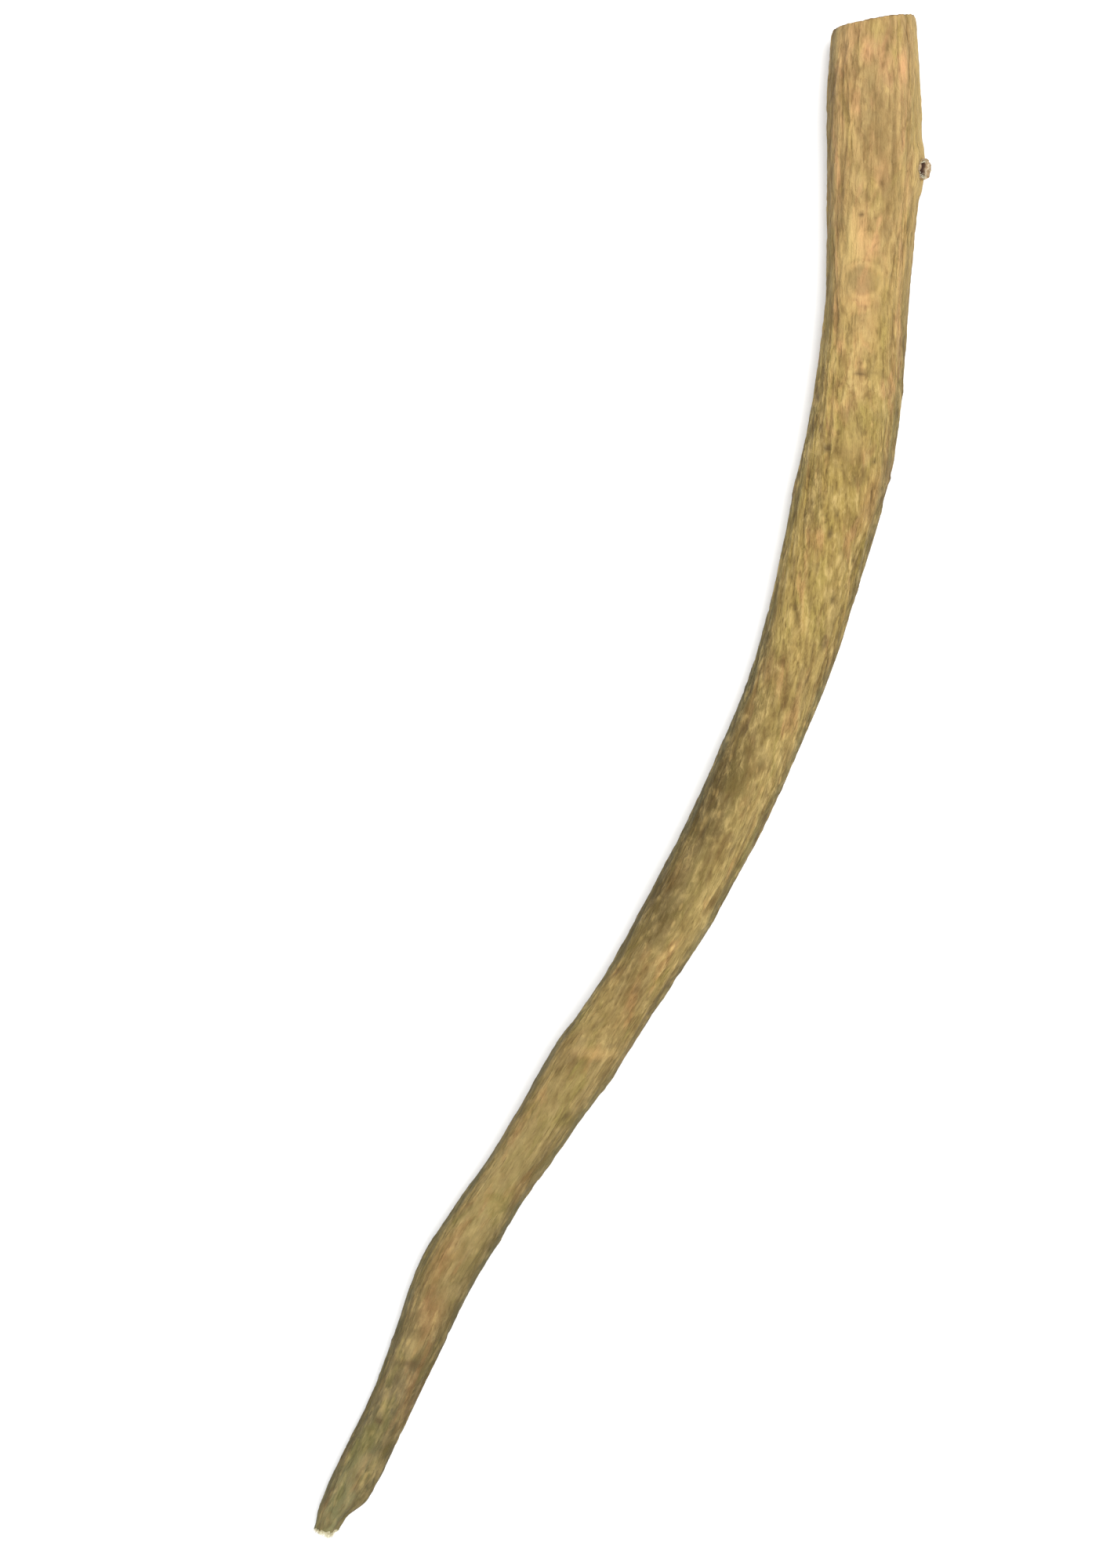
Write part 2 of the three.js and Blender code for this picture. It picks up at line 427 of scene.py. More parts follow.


# Dusky bark and painted shade by the cosine of the way each point faces, from where it starts to a share
# of the way to 1, layered place on place and mottled. It comes and goes over 0.08 of the length.
def duskAndShadeByFacing(places, full, seed):
    fade = 0.04
    shade = np.zeros_like(grain)
    for start, end, degrees, edge, strength in places:
        along = smoothStep(start - fade, start + fade, share) * smoothStep(end + fade, end - fade, share)
        towards = np.cos(angle - math.radians(degrees))
        facing = smoothStep(edge, edge + full * (1 - edge), towards)
        shade = 1 - (1 - shade) * (1 - strength * along * facing)
    return np.clip(shade * (1 + 0.5 * layeredNoise(grainPlaces(9, 3.2), seed)), 0, 1)


# How much painted shade and dusky bark darken each point: on the flanks, and on the rims.
duskAndShade = duskAndShadeByFacing(duskAndShadePlaces, full=1.0, seed=181)
rim = duskAndShadeByFacing(rimShadeAndBarkPlaces, full=0.65, seed=185)
vivid *= 1 - 0.5 * duskAndShade
bark["pale"] *= 1 - 0.6 * duskAndShade

crownFace = dict(
    dish=0.3,  # mm that the wood has sunk in the middle
    # the groove between bark and wood, and the ring in the wood: share of the radius, half its
    # width as such a share, and depth in mm
    grooves=[(0.87, 0.03, 0.14), (0.64, 0.04, 0.06)],
    pith=(0.08, 0.25),  # its share of the radius, and mm deep
    # degrees, how far out as a share of the radius, and depth in mm
    cracks=[(12, 0.7, 0.3), (58, 0.36, 0.16), (163, 0.8, 0.36), (196, 0.4, 0.2), (288, 0.6, 0.26)],
    crackHalf=0.14,  # mm, half a crack's width
    rays=0.06,  # mm high, as the saw marks and the grit are
    sawMarks=0.04,
    grit=0.06,
    edgeWorn=0.22,  # mm worn off the bark's edge, over the last edgeReach mm
    edgeReach=0.8,
    ragged=0.1,  # mm that the bark's edge goes in and out
)

# The relief ends where the bark does, and the bark's edge is worn at the crown.
edgeWorn = crownFace["edgeWorn"] * smoothStep(crownFace["edgeReach"], 0.0, fromCrown)
edgeWorn = edgeWorn * (0.6 + 0.4 * noise(grainPlaces(4, 1.6), seed=101))
bark["relief"] = (bark["relief"] - 0.05 - edgeWorn) * onBark


# Places on one end's flat face, in mm from its middle: the half width there, times the share
# across, times the angle's cosine and sine.
def endPlaces(endHalf):
    return endHalf * across * np.cos(angle), endHalf * across * np.sin(angle)


# The crown's cut face, mm ahead of flat: a dish, depth * (1 - across^2), with grooves and a pith,
# depth * exp(-(distance / width)^2), ridges turned down for the radial cracks, rays and saw marks.
def crownRelief():
    offX, offY = endPlaces(half[-1])
    flat = placesOf(0, offX, offY)
    wander = across + 0.025 * noise(flat / 1.7, seed=111)
    ahead = -crownFace["dish"] * (1 - across**2)
    for at, width, deep in crownFace["grooves"]:
        ahead = ahead - deep * np.exp(-(((wander - at) / width) ** 2))
    pithWidth, pithDeep = crownFace["pith"]
    ahead = ahead - pithDeep * np.exp(-((across / pithWidth) ** 2))
    for degrees, reach, deep in crownFace["cracks"]:
        bent = angle - math.radians(degrees) + 0.2 * np.sin(6 * across + degrees)
        aside = half[-1] * across * np.sin(bent)
        along = smoothStep(reach + 0.12, reach - 0.12, across) * smoothStep(0.06, 0.16, across)
        ahead = ahead - deep * ridge(aside, 0, crownFace["crackHalf"]) * along * (np.cos(bent) > 0)
    rays = noise(placesOf(across * 2, 11 * np.cos(angle), 11 * np.sin(angle)), seed=115)
    rays = rays * smoothStep(0.1, 0.3, across)
    sawed = noise(placesOf(0, offX / 0.45 + offY / 3, offY / 5), seed=121)
    ahead = ahead + crownFace["rays"] * rays + crownFace["sawMarks"] * sawed
    return ahead + crownFace["grit"] * layeredNoise(flat / 0.6, seed=131)


# The tip broke askew, and a sliver is gone from its -Y side.
tipBreak = dict(
    middle=0.85,  # mm that the middle stands back from the solid's end
    lean=0.5,  # mm more that the -Y side stands back, and less the +Y side
    ragged=0.3,  # mm that the bark's edge goes in and out
    torn=0.3,  # mm that the wood is uneven
    core=0.45,  # mm that the core stands out of the bark
    # radians it faces, share of the radius that is gone, and shares of the length where it starts
    # to go and is all gone: the sliver, and the worn corner across from it
    gone=[(math.pi - 0.3, 0.75, 0.033, 0.008), (0.2, 0.22, 0.014, 0.0)],
)


# The tip's break, mm behind flat: noise for the torn fibres, less core * (1 - across^2).
def tipRelief():
    offX, offY = endPlaces(half[0])
    torn = layeredNoise(placesOf(0, offX / 0.5, offY / 0.5), seed=141, octaves=3, keep=0.7)
    return tipBreak["torn"] * torn - tipBreak["core"] * (1 - across**2)


# The section's radius as a share of the plain one: 1 and its lobes, depth * cos(count * angle +
# phase + twist * share), less what is gone at the tip, by the cosine of the way it faces, to the 1.5.
def sectionShape():
    shape = np.ones_like(grain)
    for count, depth, phase, twist in rootForm["lobes"]:
        shape += depth * np.cos(count * angle + phase + twist * share)
    for facing, depth, starts, full in tipBreak["gone"]:
        towards = np.clip(np.cos(angle - facing), 0, None) ** 1.5
        shape *= 1 - depth * smoothStep(starts, full, share) * towards
    return shape


# The root's points: out from the spine by the radius, aside by its cosine and up by its sine, then
# ahead along the spine by what the ends' faces and the bark's ragged edges ask for.
def rootPoints():
    plain = half * sectionShape()
    radius = (plain + bark["relief"]) * across
    lowest = (rootForm["flatness"] * plain * np.sin(angle)).min(axis=1, keepdims=True)
    centreHeight = alongProfile("lifts", share) - rootForm["driedFlat"] - lowest
    ahead = -radius * np.cos(angle) * rootForm["crownSlope"] * smoothStep(0.95, 1.0, share)
    ahead = ahead + np.where(share == 1, crownRelief(), 0) + np.where(share == 0, tipRelief(), 0)
    tipEdge = placesOf(0, 2.2 * np.cos(angle), 2.2 * np.sin(angle))
    ragged = tipBreak["ragged"] * layeredNoise(tipEdge, seed=151, octaves=3, keep=0.7)
    broken = tipBreak["middle"] - tipBreak["lean"] * across * np.cos(angle)
    ahead = ahead + (broken + ragged) * smoothStep(0.022, 0.0, share)
    ragged = crownFace["ragged"] * (1 + noise(grainPlaces(4, 1.2), seed=161))
    ahead = ahead - ragged * smoothStep(0.6, 0.0, fromCrown) * onBark
    aside = radius * np.cos(angle)
    x, y = spineAt(share[:, 0]).T[..., None]
    alongX, alongY = directionAt(share[:, 0]).T[..., None]
    z = centreHeight + rootForm["flatness"] * radius * np.sin(angle)
    z = np.maximum(z, 0.03 + 0.03 * layers["grit"])  # the dried flat strip, just above the table
    return placesOf(x + alongX * ahead - alongY * aside, y + alongY * ahead + alongX * aside, z)


# Places in mm from the middle of the footprint become metres, kept just inside the solid's box.
def inMetres(places):
    hair = 0.01 * mm
    return np.clip(middle + mm * places, boxLow + hair, boxHigh - hair)


# A closed grid: its points, then one pole behind the first row and one past the last. Quads join
# the rows, fans of triangles join the poles, and every face turns outwards.
def closedGrid(grid):
    rows, columns = grid.shape[:2]
    index = np.arange(rows * columns).reshape(rows, columns)
    after = np.roll(index, -1, axis=1)
    quads = np.stack([index[:-1], after[:-1], after[1:], index[1:]], -1).reshape(-1, 4)
    first, last = np.full(columns, rows * columns), np.full(columns, rows * columns + 1)
    firstFan = np.stack([first, after[0], index[0]], -1)
    lastFan = np.stack([last, index[-1], after[-1]], -1)
    vertices = np.vstack([grid.reshape(-1, 3), grid[0].mean(axis=0), grid[-1].mean(axis=0)])
    return vertices, quads, np.vstack([firstFan, lastFan])


# An object put in the scene with its mesh, lamp or camera.
def placed(name, data):
    made = bpy.data.objects.new(name, data)
    bpy.context.collection.objects.link(made)
    return made


# A mesh object from arrays of points, quads and triangles.
def meshObject(name, vertices, quads, triangles):
    mesh = bpy.data.meshes.new(name)
    mesh.vertices.add(len(vertices))
    mesh.vertices.foreach_set("co", vertices.astype(np.float32).ravel())
    corners = np.r_[quads.ravel(), triangles.ravel()]
    mesh.loops.add(len(corners))
    mesh.loops.foreach_set("vertex_index", corners.astype(np.int32))
    starts = np.r_[4 * np.arange(len(quads)), 4 * len(quads) + 3 * np.arange(len(triangles))]
    mesh.polygons.add(len(starts))
    mesh.polygons.foreach_set("loop_start", starts.astype(np.int32))
    mesh.polygons.foreach_set("use_smooth", np.ones(len(starts), bool))
    mesh.update(calc_edges=True)
    mesh.validate()
    return placed(name, mesh)


# Values put on a closed grid's vertices, one number each or three: the grid's, then the means of its
# first and last rows for the poles.
def storeValues(piece, name, values, shape):
    values = np.broadcast_to(values, (*shape, *values.shape[2:]))
    ends = [values[:1].mean(axis=1), values[-1:].mean(axis=1)]
    values = np.concatenate([values.reshape(-1, *values.shape[2:]), *ends])
    kind, field = ("FLOAT", "value") if values.ndim == 1 else ("FLOAT_VECTOR", "vector")
    held = piece.data.attributes.new(name, kind, "POINT")
    held.data.foreach_set(field, values.astype(np.float32).ravel())


# The root's skin, with what its materials read: places on the straightened root, shares of its
# length and radius, the marks, and the height of its wrinkles, which is less near the tip.
def makeRoot():
    root = meshObject("pushkarmool_root_skin", *closedGrid(inMetres(rootPoints())))
    wrinkled = sum(barkRelief[name][2] * layers[name] for name in ("wrinkles", "fineWrinkles", "threads"))
    wrinkled = wrinkled * onBark * (1 - 0.85 * scarSmooth)
    values = dict(
        straight=grainPlaces(1, 1),
        share=share,
        across=across,
        stainAndShade=bark["stainAndShade"],
        pale=bark["pale"],
        duskAndShade=duskAndShade,
        rim=rim,
        blush=blush,
        vivid=vivid,
        height=wrinkled * (0.45 + 0.55 * smoothStep(0.26, 0.44, share)),
        flake=layers["flakes"] * onBark,
    )
    for name, value in values.items():
        storeValues(root, name, value, grain.shape)
    root.data.set_sharp_from_angle(angle=math.radians(48))
    return root


root = makeRoot()
print("root surface made")


strandShape = dict(rings=7, sides=5)


# Thin torn fibres, each a tapering tube along a curve start + way * t + bow * t^2, with t from 0 to
# 1 and the radius thin * (1 - 0.75 t). Each has its own closed grid, and all are one mesh.
def strandPoints(start, way, bow, thin):
    t = np.linspace(0, 1, strandShape["rings"])[None, :, None]
    line = start[:, None] + way[:, None] * t + bow[:, None] * t**2
    along = unit(way[:, None] + 2 * bow[:, None] * t)
    sideways = unit(np.cross(along, [0.3, 0.2, 1.0]))
    upwards = np.cross(sideways, along)
    turn = -2 * math.pi * np.arange(strandShape["sides"]) / strandShape["sides"]
    ring = np.cos(turn)[:, None] * sideways[:, :, None] + np.sin(turn)[:, None] * upwards[:, :, None]
    return line[:, :, None] + thin[:, None, None, None] * (1 - 0.75 * t)[..., None] * ring


# Every strand's closed grid, with its faces numbered on from those before, as one mesh.
def makeStrands(name, start, way, bow, thin):
    parts = [closedGrid(inMetres(points)) for points in strandPoints(start, way, bow, thin)]
    vertices, quads, fans = (np.array(part) for part in zip(*parts))
    before = vertices.shape[1] * np.arange(len(parts))[:, None, None]
    quads, fans = (quads + before).reshape(-1, 4), (fans + before).reshape(-1, 3)
    return meshObject(name, vertices.reshape(-1, 3), quads, fans)


tipFibres = dict(count=420, inside=0.8, beyond=(0.3, 1.25), thin=(0.03, 0.075), spread=0.9)


# Pale fibres that stand out of the broken tip: they start inside it, spread over its section, and
# run out past the bark's edge, which stands back by middle - lean * far * cos(turn).
def makeTipFibres():
    drawn = np.random.default_rng(19)
    count = tipFibres["count"]
    far = np.sqrt(drawn.uniform(0, 1, count)) * tipFibres["spread"]
    turn = drawn.uniform(0, 2 * math.pi, count)
    shape = 1 - 0.88 * np.clip(np.cos(turn - math.pi + 0.3), 0, None)
    shape = shape * (1 - 0.22 * np.clip(np.cos(turn - 0.2), 0, None) ** 1.5)
    wide = alongProfile("widths", 0.0) / 2 * far * shape
    edge = tipBreak["middle"] - tipBreak["lean"] * far * np.cos(turn)
    length = tipFibres["inside"] + np.minimum(drawn.uniform(*tipFibres["beyond"], count), edge)
    begin = spineAt((edge + tipFibres["inside"]) / rootLength)
    along = -directionAt(0.0)
    side = np.array([along[1], -along[0]])
    low = alongProfile("lifts", 0.0) + rootForm["flatness"] * alongProfile("widths", 0.0) / 2
    flat = begin + wide[:, None] * np.cos(turn)[:, None] * side
    start = np.c_[flat, low - rootForm["driedFlat"] + rootForm["flatness"] * wide * np.sin(turn)]
    splay = 0.12 * far * drawn.normal(1, 0.8, count)
    way = along * length[:, None] + side * (splay * np.cos(turn))[:, None]
    way = np.c_[way, splay * np.sin(turn)]
    bow = drawn.normal(0, 0.1, (count, 3)) * [0.3, 1, 1]
    thin = drawn.uniform(*tipFibres["thin"], count)
    return makeStrands("tip_fibres", start, way, bow, thin)


tipHairs = makeTipFibres()
print("tip fibres made")


sideStub = dict(
    alongHalf=1.36,  # mm, half its breadth along the root
    upHalf=1.2,  # mm, half its breadth up the root's side
    length=1.4,  # mm from its foot inside the bark to its broken end
    foot=0.7,  # mm inside the bark
    tiltedUp=42,  # degrees that its broken end faces up
    hollows=[(-0.56, 0.25, 0.5, 1.1), (0.52, 0.1, 0.42, 0.9)],  # mm along, mm up, reach, depth
    rings=30,
    sides=56,
    fibres=150,
)


# The stub's foot in mm, and its outward, along and up directions.
def stubFrame():
    at, turn = stubPlace["at"], math.radians(stubPlace["degrees"])
    along, up = np.r_[directionAt(at), 0], np.array([0, 0, 1.0])
    side = np.cross(up, along)
    fromSpine = math.cos(turn) * side + math.sin(turn) * up
    radius = alongProfile("widths", at) / 2
    height = alongProfile("lifts", at) + rootForm["flatness"] * radius
    foot = np.r_[spineAt(at), height] + fromSpine * radius
    tilted = math.radians(sideStub["tiltedUp"])
    outward = math.cos(tilted) * fromSpine + math.sin(tilted) * up
    return foot, outward, along, np.cross(outward, along)


# The stub: a short wall that narrows a little, then a broken end with hollows, each a bowl of
# depth * exp(-(distance / reach)^2), and a ragged rim by noise.
def makeStub():
    foot, outward, along, up = stubFrame()
    t = np.linspace(0, 1, sideStub["rings"])[:, None]
    turn = -2 * math.pi * np.arange(sideStub["sides"])[None, :] / sideStub["sides"]
    wall, end = np.clip(2 * t, 0, 1), np.clip(2 * t - 1, 0, 0.97)
    wide = (1.02 - 0.14 * smoothStep(0, 0.9, wall)) * np.sqrt(1 - end**2)
    lobed = 1 + 0.08 * np.cos(2 * turn + 0.6) + 0.06 * np.cos(5 * turn) + 0.04 * np.cos(9 * turn + 2)
    offAlong = sideStub["alongHalf"] * wide * lobed * np.cos(turn)
    offUp = sideStub["upHalf"] * wide * lobed * np.sin(turn)
    rough = layeredNoise(placesOf(offAlong / 0.6, offUp / 0.6, 1.5 * t), 171, 3, 0.65)
    hollow = sum(
        depth * np.exp(-((offAlong - x) ** 2 + (offUp - y) ** 2) / reach**2)
        for x, y, reach, depth in sideStub["hollows"]
    )
    hollow = hollow * smoothStep(0.9, 1, wall)
    out = -sideStub["foot"] + sideStub["length"] * wall + 0.32 * rough * wall - hollow
    offsets = ((out, outward), (offAlong + 0.15 * rough * wall, along), (offUp, up))
    points = foot + sum(off[..., None] * way for off, way in offsets)
    stub = meshObject("side_root_stub", *closedGrid(inMetres(points)))
    storeValues(stub, "out", wall, out.shape)
    storeValues(stub, "hollow", hollow, out.shape)
    stub.data.set_sharp_from_angle(angle=math.radians(60))
    return stub


# Pale torn hairs round the stub's broken rim, most of them short, each leaning its own way.
def makeStubFibres():
    foot, outward, along, up = stubFrame()
    drawn = np.random.default_rng(23)
    count = sideStub["fibres"]
    turn = drawn.uniform(0, 2 * math.pi, count)
    far = drawn.uniform(0.7, 0.95, count)[:, None]
    offAlong = sideStub["alongHalf"] * np.cos(turn)[:, None] * along
    offUp = sideStub["upHalf"] * np.sin(turn)[:, None] * up
    rimOut = sideStub["length"] - sideStub["foot"] - 0.35
    start = foot + far * 0.84 * (offAlong + offUp) + rimOut * outward
    length = 0.12 + 0.4 * drawn.uniform(0, 1, (count, 1)) ** 2
    way = length * outward + 0.1 * (offAlong + offUp) + drawn.normal(0, 0.1, (count, 3))
    bow = drawn.normal(0, 0.1, (count, 3))
    return makeStrands("stub_fibres", start, way, bow, drawn.uniform(0.015, 0.04, count))


stub, stubHairs = makeStub(), makeStubFibres()
print("stub of the side root made")


# A linear colour from the everyday one, each part out of 255: (c / 255 + 0.055) / 1.055, to the 2.4.
def colour(red, green, blue):
    shown = np.array([red, green, blue]) / 255
    linear = np.where(shown <= 0.04045, shown / 12.92, ((shown + 0.055) / 1.055) ** 2.4)
    return (*(float(part) for part in linear), 1.0)


# A shader node with its settings. Each input is a fixed value or another node's output.
def addNode(tree, kind, inputs=None, **settings):
    node = tree.nodes.new("ShaderNode" + kind)
    for name, value in settings.items():
        setattr(node, name, value)
    for socket, value in (inputs or {}).items():
        setInput(tree, node.inputs[socket], value)
    return node


def setInput(tree, socket, value):
    if isinstance(value, bpy.types.NodeSocket):
        tree.links.new(value, socket)
    else:
        socket.default_value = value


def attribute(tree, name, output="Fac"):
    return addNode(tree, "Attribute", attribute_name=name).outputs[output]


# Places on the straightened root, with one unit length mm along the grain and breadth mm across it.
def stretched(tree, places, length, breadth, shift):
    scale = (1 / length, 1 / breadth, 1 / breadth)
    inputs = {"Vector": places, "Scale": scale, "Location": (shift, shift, shift)}
    return addNode(tree, "Mapping", inputs).outputs[0]


def grainNoise(tree, places, length, breadth, shift=0.0, distortion=0.0, detail=3, roughness=0.6):
    inputs = {"Vector": stretched(tree, places, length, breadth, shift), "Scale": 1.0}
    inputs |= {"Detail": detail, "Roughness": roughness, "Distortion": distortion}
    return addNode(tree, "TexNoise", inputs).outputs["Fac"]


# The unit way out from the root's middle line, which is all that lines straight out of it share.
def outwards(tree, places):
    inputs = {0: places, 1: (0.0, 1.0, 1.0)}
    flat = addNode(tree, "VectorMath", inputs, operation="MULTIPLY").outputs[0]
    return addNode(tree, "VectorMath", {0: flat}, operation="NORMALIZE").outputs[0]


# Flecks strewn on the grain: 1 inside a cell's middle where the cell's own random value is high.
def flecks(tree, places, length, breadth, shift, size, share):
    inputs = {"Vector": stretched(tree, places, length, breadth, shift), "Scale": 1.0}
    cells = addNode(tree, "TexVoronoi", inputs)
    shown = addNode(tree, "SeparateColor", {"Color": cells.outputs["Color"]})
    chosen = levels(tree, shown.outputs[0], 1 - share, 1.03 - share)
    return times(tree, levels(tree, cells.outputs["Distance"], size, size * 0.4), chosen)


# A value moved so that low becomes 0 and high becomes 1, with a soft start and end.
def levels(tree, value, low, high):
    inputs = {"Value": value, "From Min": low, "From Max": high}
    return addNode(tree, "MapRange", inputs, interpolation_type="SMOOTHSTEP").outputs["Result"]


def times(tree, value, *others):
    for other in others:
        value = addNode(tree, "Math", {0: value, 1: other}, operation="MULTIPLY").outputs[0]
    return value


def plus(tree, value, *others):
    for other in others:
        value = addNode(tree, "Math", {0: value, 1: other}, operation="ADD").outputs[0]
    return value


# Values added up, each times its weight.
def weighed(tree, values, **weights):
    return plus(tree, *(times(tree, values[name], weight) for name, weight in weights.items()))


# One colour over another, by an amount from 0 to 1.
def blend(tree, amount, under, over):
    mix = addNode(tree, "Mix", {"Factor": amount}, data_type="RGBA")
    for name, value in (("A", under), ("B", over)):
        setInput(tree, next(s for s in mix.inputs if s.name == name and s.type == "RGBA"), value)
    return next(s for s in mix.outputs if s.type == "RGBA")


# Layers drawn over a tone one by one. Each has its colour's name in the finish, the value that it
# follows, where that value starts it and where it is full, and amounts to multiply it by.
def drawOver(tree, tone, finish, *drawn):
    for name, value, start, full, *amounts in drawn:
        amount = times(tree, levels(tree, value, start, full), *amounts)
        tone = blend(tree, amount, tone, finish[name])
    return tone


# A colour that changes with a value, through stops of position, red, green and blue.
def ramp(tree, value, stops):
    node = addNode(tree, "ValToRGB", {"Fac": value})
    while len(node.color_ramp.elements) < len(stops):
        node.color_ramp.elements.new(0.5)
    for element, (position, *shown) in zip(node.color_ramp.elements, stops):
        element.position = position
        element.color = colour(*shown)
    return node.outputs["Color"]


def newMaterial(name, roughness=0.5, specular=0.5):
    material = bpy.data.materials.new(name)
    material.use_nodes = True
    tree = material.node_tree
    tree.nodes.clear()
    output = addNode(tree, "OutputMaterial")
    shader = addNode(tree, "BsdfPrincipled")
    shader.inputs["Roughness"].default_value = roughness
    shader.inputs["Specular IOR Level"].default_value = specular
    tree.links.new(shader.outputs[0], output.inputs["Surface"])
    return material, tree, shader


# A tone on the shader, and a bump where a value from 0 to 1 stands for so many mm.
def finishSurface(tree, shader, tone, height, rise):
    tree.links.new(tone, shader.inputs["Base Color"])
    bump = addNode(tree, "Bump", {"Height": height, "Strength": 1.0, "Distance": rise * mm})
    tree.links.new(bump.outputs[0], shader.inputs["Normal"])


barkFinish = dict(
    # tones from tip to crown: share of the length and colour
    alongRoot=[
        (0.0, 112, 109, 73), (0.1, 88, 77, 51), (0.16, 116, 99, 60), (0.2, 133, 116, 70),
        (0.27, 150, 130, 82), (0.37, 137, 116, 68), (0.5, 150, 130, 76), (0.62, 160, 136, 78),
        (0.7, 151, 128, 67), (0.76, 162, 138, 78), (0.87, 170, 141, 88), (0.94, 168, 138, 88),
        (1.0, 178, 147, 97),
    ],
    # patches, which get lighter towards the crown
    peach=[(0.0, 128, 94, 58), (0.5, 172, 128, 78), (1.0, 212, 160, 112)],
    olive=[(0.0, 96, 92, 44), (0.5, 138, 124, 58), (1.0, 170, 148, 82)],
    brown=[(0.0, 80, 64, 38), (0.5, 112, 86, 42), (1.0, 136, 104, 60)],
    patchAmount=0.55,
    # dusky bark with painted shade on the flanks, and painted shade on the rims, partly dark bark
    duskAndShade=colour(76, 62, 28),
    rim=colour(84, 83, 57),
    cork=colour(146, 126, 84),  # where flakes are lifted
    sandy=colour(176, 154, 104),  # clouds where the grain is calm
    mossy=colour(90, 82, 40),
    strawLight=colour(197, 170, 108),  # the light of the grain, and ridges and pale marks
    earthDark=colour(84, 62, 28),  # the dark of the grain, and darker down in the wrinkles
    flax=colour(214, 180, 112),  # pale flecks
    # dark stains, and painted shade in the stub's socket
    stainAndShadeDark=colour(66, 48, 26),
    grainAmount=0.5,  # how strong the light and dark of the grain are
    # flecks: colour, mm along and across the grain, shift, size in a cell, share shown, and strength
    flecks=[("flax", 2.4, 0.9, 41.0, 0.3, 0.25, 0.3), ("earthDark", 2.2, 1.0, 47.0, 0.26, 0.15, 0.35)],
    bump=0.26,  # mm
)
barkNoises = dict(
    # each noise: mm along the grain, mm across it, shift, distortion, and the mottle's own detail
    # and roughness
    peach=(9.0, 2.6, 3.1, 0.6),
    olive=(8.0, 3.0, 11.7, 0.6),
    brown=(6.0, 1.9, 27.3, 0.6),
    mottle=(3.6, 1.6, 5.0, 0.5, 2, 0.5),
    dash=(1.7, 0.75, 17.0, 0.6),
    streak=(3.4, 0.4, 29.0, 0.4),
    speck=(0.6, 0.4, 23.0),
    thread=(2.2, 0.13, 53.0),
    clouds=(3.0, 1.3, 61.0, 0.2),
)


# The bark's ground: tan that shifts along the root, patches of peach, olive and brown, blushes, dusky bark
# and painted shade on the flanks, painted shade on the rims, and flakes.
def barkGround(tree, share, made):
    tone = ramp(tree, share, barkFinish["alongRoot"])
    for name in ("peach", "olive", "brown"):
        amount = times(tree, levels(tree, made[name], 0.5, 0.68), barkFinish["patchAmount"])
        tone = blend(tree, amount, tone, ramp(tree, share, barkFinish[name]))
    tone = blend(tree, attribute(tree, "blush"), tone, ramp(tree, share, barkFinish["peach"]))
    # painted shade and dusky bark on the flanks, and painted shade on the rims
    for name in ("duskAndShade", "rim"):
        tone = blend(tree, attribute(tree, name), tone, barkFinish[name])
    return blend(tree, times(tree, attribute(tree, "flake"), 0.2), tone, barkFinish["cork"])


# The bark's grain: short light and dark dashes along it, thin dark threads, strewn flecks, and soft
# clouds where it is calm.
def barkGrain(tree, tone, places, made):
    vivid = attribute(tree, "vivid")
    calm = plus(tree, times(tree, vivid, -1.0), 1.0)
    weave = weighed(tree, made, mottle=0.34, dash=0.4, streak=0.14, speck=0.12)
    tone = drawOver(
        tree, tone, barkFinish,
        ("strawLight", weave, 0.49, 0.64, barkFinish["grainAmount"], vivid),
        ("earthDark", weave, 0.51, 0.36, barkFinish["grainAmount"], vivid),
        ("earthDark", made["thread"], 0.46, 0.3, 0.22, vivid),
    )
    for name, *sizes, amount in barkFinish["flecks"]:
        amount = times(tree, flecks(tree, places, *sizes), amount, vivid)
        tone = blend(tree, amount, tone, barkFinish[name])
    return drawOver(
        tree, tone, barkFinish,
        ("sandy", made["clouds"], 0.48, 0.66, calm, 0.26),
        ("mossy", made["clouds"], 0.52, 0.34, calm, 0.3),
    )


# Bark: its ground, its grain, paler ridges and darker wrinkles by their height in mm, and the marks where
# they were made. It is least rough where the mottle is light.
def barkMaterial():
    material, tree, shader = newMaterial("dried root bark", specular=0.3)
    places = attribute(tree, "straight", "Vector")
    made = {name: grainNoise(tree, places, *sizes) for name, sizes in barkNoises.items()}
    tone = barkGrain(tree, barkGround(tree, attribute(tree, "share"), made), places, made)
    height = attribute(tree, "height")
    tone = drawOver(
        tree, tone, barkFinish,
        ("strawLight", height, 0.0, 0.05, 0.12),
        ("earthDark", height, -0.03, -0.18, 0.4),
    )
    tone = blend(tree, attribute(tree, "pale"), tone, barkFinish["strawLight"])
    tone = blend(tree, attribute(tree, "stainAndShade"), tone, barkFinish["stainAndShadeDark"])
    inputs = {"Value": made["mottle"], "From Min": 0.3, "From Max": 0.7, "To Min": 0.95, "To Max": 0.72}
    rough = addNode(tree, "MapRange", inputs).outputs["Result"]
    tree.links.new(rough, shader.inputs["Roughness"])
    height = weighed(tree, made, streak=0.8, dash=0.8, speck=0.4, thread=0.35)
    finishSurface(tree, shader, tone, height, barkFinish["bump"])
    return material


woodFinish = dict(
    fresh=colour(232, 208, 152),
    aged=colour(202, 170, 114),
    ringDark=colour(156, 120, 70),
    barkEdge=colour(112, 86, 52),
    torn=colour(206, 202, 168),
    bump=0.12,  # mm
)


